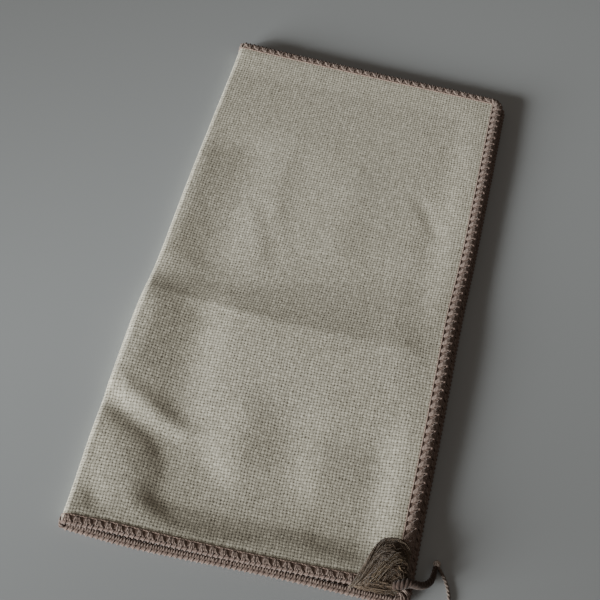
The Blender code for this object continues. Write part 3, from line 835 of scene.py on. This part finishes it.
# Looper thread that winds along the outer edge, two turns for each stitch: the centre of
# the winding from the cut edge, its swing outward and up, radius of the thread, and the
# share that its swing drifts by, as the product of two slow sines of these turns a step
CHAIN_MIDDLE = -0.20
CHAIN_SWING_OUT = 0.82
CHAIN_SWING_UP_ENDS = 1.00
CHAIN_SWING_UP_SIDES = 0.50
CHAIN_RADIUS = 0.32
CHAIN_DRIFT = 0.05
CHAIN_DRIFT_RATES = (0.131, 0.0477)
CHAIN_STEPS = 8
CHAIN_SIDES = 5

# Seam thread on each face: place from the cut edge at the cloth's ends and along its
# sides, height, radius, swell at each stitch
SEAM_OUT_ENDS = -3.70
SEAM_OUT_SIDES = -4.95
SEAM_UP = 0.62
SEAM_RADIUS = 0.36
SEAM_SWELL = 0.25
SEAM_STEPS = 6
SEAM_SIDES = 6

# Run of one twist of the threads, and their colours, each from its dark to its light
BAND_TWIST = 1.3
EDGE_TWIST = 1.2
LEG_TWIST = 1.7
BAND_DARK = (0.195, 0.143, 0.120, 1.0)
BAND_LIGHT = (0.330, 0.247, 0.210, 1.0)
EDGE_DARK = (0.125, 0.088, 0.075, 1.0)
EDGE_LIGHT = (0.245, 0.182, 0.156, 1.0)
THREAD_DARK = (0.145, 0.106, 0.090, 1.0)
THREAD_LIGHT = (0.335, 0.265, 0.230, 1.0)

# Section of the band under the stitches: outward from the cut edge as a share of the
# seam's place, up
BAND_SECTION = (
    (1.03, 0.46), (0.92, 0.66), (0.70, 0.80), (0.40, 0.82), (0.15, 0.66),
    (0.15, -0.66), (0.40, -0.82), (0.70, -0.80), (0.92, -0.66), (1.03, -0.46),
)
BAND_STEPS = 2

# Section of the mass of thread round the outer edge: outward from the cut edge and up,
# then the same two at the ends of the lower layer, where up points down to the table
EDGE_SECTION = (
    (-0.95, 0.66, -0.95, 0.66),
    (-0.60, 0.98, -0.60, 0.98),
    (-0.10, 0.96, -0.10, 0.96),
    (0.24, 0.66, 0.24, 0.66),
    (0.36, 0.00, 0.36, 0.00),
    (0.24, -0.66, 0.24, -0.76),
    (-0.10, -0.96, -0.30, -1.08),
    (-0.60, -0.98, -1.90, -1.12),
    (-0.95, -0.70, -3.10, -1.50),
)
# Its steps, its swell, the part of a swell that each side of it lags by, and the share that
# it is lower by at the cloth's ends
EDGE_STEPS = 6
EDGE_RELIEF = 0.10
EDGE_LAG = 0.13
EDGE_END_DROP = 0.16


def closed_tube(name, rings, lengths, finish):
    """A tube round the whole edge from its rings of points, joined end to end."""
    count, sides, _ = rings.shape
    ring = np.arange(count)[:, None] * sides
    start = lengths[:, None]
    stop = start + (lengths[1] - lengths[0])
    faces, uv = tube_walls(ring, np.roll(ring, -1, axis=0), start, stop, 0, sides)
    return make_piece(name, rings, faces, finish, uv)


def side_share(outward):
    """0 where the edge faces an end of the cloth, 1 where it faces a side."""
    return np.abs(outward[..., 0])


def seam_place(outward):
    """Distance of the seam from the cut edge, outward."""
    return SEAM_OUT_ENDS + (SEAM_OUT_SIDES - SEAM_OUT_ENDS) * side_share(outward)


def lower_share(distance):
    """1 on the lower layer's half of the cut edge, 0 on the upper layer's."""
    fold = 2.0 * HALF_LENGTH + HALF_ACROSS - 3.0 * CORNER_RADIUS + 0.5 * math.pi * CORNER_RADIUS
    return (np.mod(distance - fold, EDGE_TOTAL) < 0.5 * EDGE_TOTAL).astype(float)


def ring_places(steps_each):
    """Distances along the cut edge, that many for each stitch, and its directions there."""
    lengths = np.arange(steps_each * STITCHES) * EDGE_TOTAL / (steps_each * STITCHES)
    return lengths, edge_frame(lengths)


def edge_rings(edge, out, up_by):
    """Points beside the cut edge: outward and up by arrays of ring distances."""
    centre, outward, up, _ = edge
    return centre[:, None] + outward[:, None] * out[..., None] + up[:, None] * up_by[..., None]


def make_band(finish):
    """The dark band under the stitches, from seam to cut edge and back on the other face."""
    lengths, edge = ring_places(BAND_STEPS)
    section = np.array(BAND_SECTION)
    out = seam_place(edge[1])[:, None] * section[:, 0]
    up_by = np.broadcast_to(section[:, 1], out.shape)
    band = closed_tube("border_band", edge_rings(edge, out, up_by), lengths, finish)
    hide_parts("overlock_border")
    return band


def make_edge(finish):
    """The mass of thread round the outer edge.

    Its section swells by a cosine along the edge, twice for each stitch, and a little later
    on each side of it. It is lower at the cloth's ends.
    """
    lengths, edge = ring_places(2 * EDGE_STEPS)
    section = np.array(EDGE_SECTION)
    on_end = (1.0 - side_share(edge[1]))[:, None]
    on_lower = lower_share(lengths)[:, None] * on_end
    out, up_by = (
        section[:, k] + (section[:, k + 2] - section[:, k]) * on_lower for k in (0, 1)
    )
    lag = EDGE_LAG * np.arange(len(section))
    turns = np.arange(len(lengths))[:, None] / EDGE_STEPS + lag
    swell = 1.0 + EDGE_RELIEF * np.cos(2.0 * math.pi * turns)
    middle = section[:, 0].mean()
    up_by = up_by * swell * (1.0 - EDGE_END_DROP * on_end)
    rings = edge_rings(edge, middle + (out - middle) * swell, up_by)
    return closed_tube("border_edge", rings, lengths, finish)


def make_seam(name, face, finish):
    """A seam thread along one face, a circle that swells between the needle's holes."""
    lengths, edge = ring_places(SEAM_STEPS)
    turn = 2.0 * math.pi * np.arange(SEAM_SIDES) / SEAM_SIDES
    wave = np.cos(2.0 * math.pi * np.arange(len(lengths)) / SEAM_STEPS)
    radius = SEAM_RADIUS * (1.0 - SEAM_SWELL * wave)[:, None]
    out = seam_place(edge[1])[:, None] + radius * np.cos(turn)
    up_by = face * (SEAM_UP + radius * np.sin(turn))
    return closed_tube(name, edge_rings(edge, out, up_by)[:, :: int(face)], lengths, finish)


def make_legs(name, places, finish):
    """Two threads of every stitch, at those places counted from the stitch's middle.

    Each runs from seam to seam round the cut edge. On the lower layer's ends the threads
    lie evenly from the seam on.
    """
    ends, sides = (
        bent(rows + rows[-2::-1], LEG_STEPS) for rows in (LEG_ROWS_ENDS, LEG_ROWS_SIDES)
    )
    half = np.where(np.arange(LEG_STEPS) > LEG_STEPS // 2, -1.0, 1.0)
    starts = np.repeat(np.arange(STITCHES) * EDGE_TOTAL / STITCHES, len(places))
    share = side_share(edge_frame(starts)[1])[:, None, None]
    route = ends + (sides - ends) * share
    even = (lower_share(starts)[:, None, None] * (1.0 - share))[..., 0]
    route[..., 0] += (ends[:, 0].max() - route[..., 0]) * even
    route[..., 0] *= np.tile(places, STITCHES)[:, None]
    route[..., 2] *= half
    slant = LEG_SLANT_ENDS + (LEG_SLANT_SIDES - LEG_SLANT_ENDS) * share[:, 0, 0]
    slant = slant + np.repeat(RANDOM.normal(0.0, LEG_SLANT_SPREAD, STITCHES), len(places))
    lines, forward = along_edge(route, starts, slant, LEG_SPREAD)
    swell = 1.0 + RANDOM.normal(0.0, LEG_WIDTH_SPREAD, (len(starts), 1))
    width = route[..., 3] * swell
    height = route[..., 4] * np.minimum(swell, 1.0)
    lines[..., 2] = np.maximum(lines[..., 2], height + TABLE_GAP)
    return strands(name, lines, width, height, LEG_SIDES, finish, forward)


def make_chain(finish):
    """The looper thread: a flattened helix round a line just inside the outer edge."""
    lengths, (centre, outward, up, _) = ring_places(2 * CHAIN_STEPS)
    place = np.arange(len(lengths))
    angle = 2.0 * math.pi * place / CHAIN_STEPS
    first_rate, second_rate = CHAIN_DRIFT_RATES
    reach = 1.0 + CHAIN_DRIFT * np.sin(place * first_rate) * np.sin(place * second_rate)
    swing = CHAIN_SWING_UP_ENDS + (CHAIN_SWING_UP_SIDES - CHAIN_SWING_UP_ENDS) * side_share(outward)
    route = (
        centre
        + outward * (CHAIN_MIDDLE + CHAIN_SWING_OUT * np.cos(angle) * reach)[:, None]
        + up * (swing * np.sin(angle) * reach)[:, None]
    )
    tangent = unit(np.roll(route, -1, axis=0) - np.roll(route, 1, axis=0))
    rings = ring_points(route, tangent, outward, CHAIN_RADIUS, CHAIN_RADIUS, CHAIN_SIDES)
    return closed_tube("border_chain", rings, lengths, finish)


def make_border():
    """The overlock border round the cut edge: band, edge mass, seam threads, legs, looper."""
    band_finish = thread_finish("border_band_thread", BAND_DARK, BAND_LIGHT, BAND_TWIST)
    edge_finish = thread_finish("border_edge_thread", EDGE_DARK, EDGE_LIGHT, EDGE_TWIST)
    leg_finish = thread_finish("border_leg_thread", THREAD_DARK, THREAD_LIGHT, LEG_TWIST)
    return [
        make_band(band_finish),
        make_edge(edge_finish),
        make_seam("border_seam_outside", 1.0, band_finish),
        make_seam("border_seam_inside", -1.0, band_finish),
        make_legs("border_legs_left", LEG_PLACES_LEFT, leg_finish),
        make_legs("border_legs_right", LEG_PLACES_RIGHT, leg_finish),
        make_chain(edge_finish),
    ]


# Thread tuft at the near right corner. Rim from its left root over the top to its right
# root, and the line of its roots along the border below: x, y, z
TUFT_RIM = (
    (46.6, -149.8, 6.3),
    (49.2, -145.2, 7.4),
    (51.2, -139.2, 8.2),
    (53.4, -132.4, 8.7),
    (56.6, -127.0, 8.8),
    (61.2, -124.9, 8.5),
    (65.4, -125.6, 8.0),
    (68.2, -128.8, 7.6),
    (69.0, -134.5, 7.2),
    (69.0, -140.5, 6.9),
)
TUFT_ROOTS = (
    (48.6, -149.0, 6.5),
    (55.0, -148.4, 6.9),
    (61.0, -147.4, 7.1),
    (65.6, -145.6, 7.1),
    (68.8, -143.6, 6.9),
)
# Height of the mound between them, and samples of each line
TUFT_MOUND = 1.1
TUFT_SAMPLES = 101

# Thread colours of the tuft, and the run of one twist. The tuft's threads are browns with a
# few straw strands. Its darkest colour, on the top and inside, is partly painted shade, and
# the lighter mauve and olive of its rim and left flank are partly painted light
TUFT_CORE_SHADE = (0.070, 0.051, 0.036, 1.0)
TUFT_BROWN = (0.100, 0.072, 0.050, 1.0)
TUFT_MAUVE = (0.125, 0.096, 0.072, 1.0)
TUFT_TAN = (0.150, 0.110, 0.074, 1.0)
TUFT_OLIVE = (0.165, 0.130, 0.094, 1.0)
TUFT_STRAW = (0.215, 0.160, 0.090, 1.0)
TUFT_GREY = (0.110, 0.088, 0.076, 1.0)
TUFT_PALE = (0.250, 0.210, 0.182, 1.0)
# The big knot's thread is pale, and lighter still to make up for the tuft's shade on it: partly its own
# colour, partly painted light
KNOT_DARK = (0.240, 0.195, 0.170, 1.0)
KNOT_LIGHT = (0.560, 0.490, 0.440, 1.0)
TAIL_DARK = (0.045, 0.030, 0.025, 1.0)
TAIL_LIGHT = (0.090, 0.062, 0.051, 1.0)
LOOSE_TWIST = 3.0
TAIL_TWIST = 1.8
END_TWIST = 1.4

# Bed under the strands: start and end from the rim to the roots, its points that way and
# along the rim, drop, thickness, size of its pattern along the rim and to the roots
BED_RANGE = (0.04, 1.04)
BED_POINTS = (10, 24)
BED_DROP = 0.15
BED_THICKNESS = 0.5
BED_PATTERN = (40.0, 12.0)

# Strands of the tuft: name, count, radius, share from the rim to the roots at the start
# and at the end, place along the rim at the start and at the end, spread, rise
TUFT_FAMILIES = (
    ("tuft_flank", 260, 0.13, (0.00, 0.42), (0.00, 0.34), (0.00, 0.06), (0.36, 0.60), 0.20, 0.10),
    ("tuft_core", 200, 0.14, (0.05, 0.55), (0.25, 1.00), (0.34, 0.62), (0.80, 1.00), 0.35, 0.00),
    ("tuft_inner", 170, 0.13, (0.55, 1.00), (0.15, 0.60), (0.06, 0.50), (0.52, 0.94), 0.35, 0.30),
    ("tuft_roots", 150, 0.15, (0.80, 1.06), (0.84, 1.10), (0.00, 0.30), (0.70, 1.00), 0.35, 0.15),
    ("tuft_straw", 18, 0.17, (0.66, 0.84), (0.22, 0.40), (0.24, 0.40), (0.60, 0.74), 0.25, 0.85),
)
# Their steps and sides, spread of their ends, least and most turn of their slow waves, and
# the most that one lies above or below its family
LOOSE_STEPS = 20
LOOSE_SIDES = 4
LOOSE_END_SPREAD = 0.02
LOOSE_WAVES = (3.0, 9.0)
LOOSE_LIFT = 0.20

# Rim: steps of its line and those that the lock covers, strands, turns, radius of a
# strand, reach and its swell, part of a half wave that the swell takes, spread
RIM_STEPS = 40
RIM_COVERED = 32
RIM_STRANDS = 26
RIM_TURNS = 1.3
RIM_RADIUS = 0.14
RIM_REACH = 0.25
RIM_SWELL = 0.60
RIM_SWELL_START = 0.08
RIM_SWELL_RUN = 0.88
RIM_SPREAD = 0.12

# Tail off the corner, and the thread end that comes back from its knot: x, y, z
TAIL_ROUTE = (
    (64.0, -145.2, 6.4),
    (66.8, -143.9, 7.7),
    (70.2, -142.2, 7.7),
    (73.2, -141.6, 6.1),
    (76.0, -140.2, 4.2),
    (78.5, -137.4, 2.6),
    (79.6, -134.0, 1.6),
    (79.8, -130.8, 1.4),
    (80.1, -128.4, 1.5),
)
END_THREAD_ROUTE = (
    (80.4, -128.3, 1.3),
    (82.2, -130.3, 1.0),
    (84.5, -133.3, 0.7),
    (86.3, -136.9, 0.6),
    (87.5, -140.8, 0.6),
    (87.9, -144.4, 0.6),
)
# Strands laid round a route: name, route, steps, strands, turns, reach at the start and at
# the end, radius at the start and at the end, gap over the table, sides
TWIST_ROWS = (
    ("tuft_tail", TAIL_ROUTE, 72, 3, 6.0, 1.25, 0.50, 1.15, 0.53, 0.02, 8),
    ("tuft_end_thread", END_THREAD_ROUTE, 60, 2, 5.0, 0.36, 0.36, 0.46, 0.46, 0.04, 6),
)
# Small knots: name, centre, radius of the ball that the thread winds over, thread radius
KNOT_ROWS = (
    ("tuft_knot", (80.3, -127.9, 1.75), 1.12, 0.58),
    ("tuft_small_knot", (65.2, -137.4, 8.9), 0.38, 0.28),
)
# Turns of that thread round the ball, its swings from pole to pole, steps and sides
KNOT_TURNS = 2.0
KNOT_SWINGS = 5.0
KNOT_STEPS = 97
KNOT_SIDES = 6


def tuft_surface(along, share):
    """Points of the tuft's body: straight from the rim to the roots, raised in the middle."""
    place = np.linspace(0.0, 1.0, TUFT_SAMPLES)
    first, last = (
        np.stack([np.interp(along, place, column) for column in bent(rows, TUFT_SAMPLES).T], axis=-1)
        for rows in (TUFT_RIM, TUFT_ROOTS)
    )
    points = first + (last - first) * share[..., None]
    mound = np.sin(math.pi * np.clip(share, 0.0, 1.0)) * np.sin(math.pi * along)
    points[..., 2] += TUFT_MOUND * mound
    return points


def make_bed(finish):
    """The bed of the tuft: its body's surface, a little lower than the strands."""
    steps, places = BED_POINTS
    share, along = np.meshgrid(
        np.linspace(*BED_RANGE, steps), np.linspace(0.0, 1.0, places), indexing="ij"
    )
    body = tuft_surface(along, share)
    body[..., 2] -= BED_DROP
    faces = grid_quads(steps, places)
    uv = np.stack([along * BED_PATTERN[0], share * BED_PATTERN[1]], axis=-1).reshape(-1, 2)[faces]
    bed = make_piece("tuft_bed", body, faces, finish, uv)
    give_thickness(bed, BED_THICKNESS)
    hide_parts("thread_tuft")
    return bed


def tuft_strands(row, finish):
    """One family of strands that lie on the tuft's body, each with a slow wave of its own."""
    name, count, radius, share_0, share_1, along_0, along_1, spread, rise = row
    step = np.linspace(0.0, 1.0, LOOSE_STEPS)
    own = (np.arange(count) + RANDOM.uniform(0.0, 1.0, count)) / count
    ends = [
        low + (high - low) * RANDOM.permutation(own) + RANDOM.normal(0.0, LOOSE_END_SPREAD, count)
        for low, high in (share_0, share_1, along_0, along_1)
    ]
    share = ends[0][:, None] + (ends[1] - ends[0])[:, None] * step
    along = np.clip(ends[2][:, None] + (ends[3] - ends[2])[:, None] * step, 0.0, 1.0)
    lines = tuft_surface(along, share)
    wave = RANDOM.uniform(0.0, 2.0 * math.pi, (count, 1, 3))
    rate = RANDOM.uniform(*LOOSE_WAVES, (count, 1, 3))
    size = RANDOM.normal(0.0, spread, (count, 1, 3))
    lines = lines + size * np.sin(wave + rate * step[None, :, None])
    lines[..., 2] += rise + RANDOM.uniform(-LOOSE_LIFT, LOOSE_LIFT, (count, 1))
    return strands(name, lines, radius, radius, LOOSE_SIDES, finish)


def twisted(middle, count, turns, reach):
    """Lines that wind round a middle line at a reach from it."""
    tangent = unit(np.gradient(middle, axis=0))
    side = unit(np.cross(tangent, np.array([0.0, 0.0, 1.0])))
    top = np.cross(side, tangent)
    place = np.linspace(0.0, 1.0, len(middle))
    angle = 2.0 * math.pi * (np.arange(count)[:, None] / count + turns * place[None, :])
    round_it = side[None] * np.cos(angle)[..., None] + top[None] * np.sin(angle)[..., None]
    return middle[None] + reach[None, :, None] * round_it


def make_rim(finish):
    """The rim of the tuft: a loose lock twisted round its left and top, thickest midway."""
    middle = bent(TUFT_RIM, RIM_STEPS)[:RIM_COVERED]
    place = np.linspace(0.0, 1.0, RIM_COVERED)
    swell = np.sin(math.pi * (RIM_SWELL_START + RIM_SWELL_RUN * place))
    lines = twisted(middle, RIM_STRANDS, RIM_TURNS, RIM_REACH + RIM_SWELL * swell)
    lines = lines + RANDOM.normal(0.0, RIM_SPREAD, (RIM_STRANDS, 1, 3))
    return strands("tuft_rim", lines, RIM_RADIUS, RIM_RADIUS, LOOSE_SIDES, finish)


def make_twist(row, finish):
    """Strands laid round each other along a route, thinner to its end, clear of the table."""
    name, route, steps, count, turns, reach_0, reach_1, radius_0, radius_1, gap, sides = row
    place = np.linspace(0.0, 1.0, steps)
    lines = twisted(bent(route, steps), count, turns, reach_0 + (reach_1 - reach_0) * place)
    radius = np.broadcast_to(radius_0 + (radius_1 - radius_0) * place, (count, steps))
    lines[..., 2] = np.maximum(lines[..., 2], radius + gap)
    return strands(name, lines, radius, radius, sides, finish)


def make_knot(row, finish):
    """A small knot: one thread wound over a ball, which turns while it swings up and down."""
    name, centre, reach, radius = row
    turn = np.linspace(0.0, 2.0 * math.pi, KNOT_STEPS)
    swing = KNOT_SWINGS * turn
    spin = KNOT_TURNS * turn
    ball = np.stack([np.cos(spin) * np.cos(swing), np.sin(spin) * np.cos(swing), np.sin(swing)], axis=-1)
    lines = (np.array(centre) + reach * ball)[None]
    return strands(name, lines, radius, radius, KNOT_SIDES, finish)


def make_tuft():
    """The thread tuft: its bed, strands over it, a rim, a chain tail, its end and knots."""
    dark, brown, rim, straw = (
        thread_finish(name, low, high, LOOSE_TWIST, LOOSE_RELIEF)
        for name, low, high in (
            ("tuft_core_shade_thread", TUFT_CORE_SHADE, TUFT_BROWN),
            ("tuft_brown_thread", TUFT_BROWN, TUFT_TAN),
            ("tuft_rim_thread", TUFT_MAUVE, TUFT_OLIVE),
            ("tuft_straw_thread", TUFT_MAUVE, TUFT_STRAW),
        )
    )
    tail = thread_finish("tuft_tail_thread", TAIL_DARK, TAIL_LIGHT, TAIL_TWIST)
    pale = thread_finish("tuft_pale_thread", TUFT_GREY, TUFT_PALE, END_TWIST)
    # Knot thread: pale, partly painted light that makes up for the shade the tuft casts on it
    knot = thread_finish("tuft_knot_thread", KNOT_DARK, KNOT_LIGHT, END_TWIST)

    pieces = [make_bed(brown)]
    # The left flank and rim take the lighter rim thread, partly painted light, and the core takes the
    # darkest thread, partly painted shade of the tuft's top and inside
    for row, finish in zip(TUFT_FAMILIES, (rim, dark, brown, brown, straw)):
        pieces.append(tuft_strands(row, finish))
    pieces.append(make_rim(rim))
    for row, finish in zip(TWIST_ROWS, (tail, pale)):
        pieces.append(make_twist(row, finish))
    for row, finish in zip(KNOT_ROWS, (knot, straw)):
        pieces.append(make_knot(row, finish))
    return pieces


# Stage, in metres: floor, window and lamp with the points that they face, and sky
FLOOR_HALF = 3.0
FLOOR_COLOUR = (0.41, 0.445, 0.468, 1.0)
DAYLIGHT = (1.0, 0.99, 0.955)
WINDOW_PLACE = (-2.70, -2.62, 0.64)
WINDOW_TARGET = (0.0, 0.0, 0.0)
WINDOW_SIZE = (2.6, 1.2)
WINDOW_ENERGY = 285.0
LAMP_PLACE = (-1.103, -1.014, 0.464)
LAMP_TARGET = (-0.08, -0.02, 0.0)
LAMP_CONE = math.radians(15.0)
LAMP_SOFT_SHARE = 1.0
LAMP_RADIUS = 0.15
LAMP_ENERGY = 84.0
SKY_COLOUR = (1.0, 0.86, 0.74, 1.0)
SKY_STRENGTH = 0.13


def facing(place, target):
    """The turn that points -Z from the place to the target, with +Y upward."""
    return (Vector(target) - Vector(place)).to_track_quat("-Z", "Y")


def add_light(name, kind, settings, energy, place, target):
    """A light of that kind, with its own settings, that faces the target."""
    light = bpy.data.lights.new(name, kind)
    for key, value in settings.items():
        setattr(light, key, value)
    light.energy = energy
    light.color = DAYLIGHT
    source = bpy.data.objects.new(name, light)
    source.location = place
    source.rotation_euler = facing(place, target).to_euler()
    bpy.context.scene.collection.objects.link(source)


def make_stage():
    """A plain pale floor, a wide window, a soft lamp on the same side, and a dim even sky."""
    floor = Finish("floor", roughness=0.55)
    floor.shader.inputs["Base Color"].default_value = FLOOR_COLOUR
    corners = [(-1.0, -1.0, 0.0), (1.0, -1.0, 0.0), (1.0, 1.0, 0.0), (-1.0, 1.0, 0.0)]
    mesh = bpy.data.meshes.new("floor")
    mesh.from_pydata((FLOOR_HALF * np.array(corners)).tolist(), [], [(0, 1, 2, 3)])
    mesh.materials.append(floor.material)
    plane = bpy.data.objects.new("floor", mesh)
    bpy.context.scene.collection.objects.link(plane)

    window = {"shape": "RECTANGLE", "size": WINDOW_SIZE[0], "size_y": WINDOW_SIZE[1]}
    add_light("window", "AREA", window, WINDOW_ENERGY, WINDOW_PLACE, WINDOW_TARGET)
    lamp = {"spot_size": LAMP_CONE, "spot_blend": LAMP_SOFT_SHARE, "shadow_soft_size": LAMP_RADIUS}
    add_light("lamp", "SPOT", lamp, LAMP_ENERGY, LAMP_PLACE, LAMP_TARGET)
    world = bpy.data.worlds.new("sky")
    world.use_nodes = True
    sky = world.node_tree.nodes["Background"]
    sky.inputs["Color"].default_value = SKY_COLOUR
    sky.inputs["Strength"].default_value = SKY_STRENGTH
    bpy.context.scene.world = world


def make_camera():
    """The viewpoint: level aim at the target, then the roll."""
    camera = bpy.data.cameras.new("camera")
    camera.angle = CAMERA_ANGLE
    camera.clip_start = CAMERA_NEAREST
    view = bpy.data.objects.new("camera", camera)
    aim = facing(CAMERA_PLACE, CAMERA_TARGET).to_matrix()
    turned = aim @ Matrix.Rotation(CAMERA_ROLL, 3, "Z")
    view.matrix_world = Matrix.Translation(CAMERA_PLACE) @ turned.to_4x4()
    bpy.context.scene.collection.objects.link(view)
    bpy.context.scene.camera = view


make_camera()
make_stage()
sheet = make_sheet(cotton_finish())
border = make_border()
tuft = make_tuft()
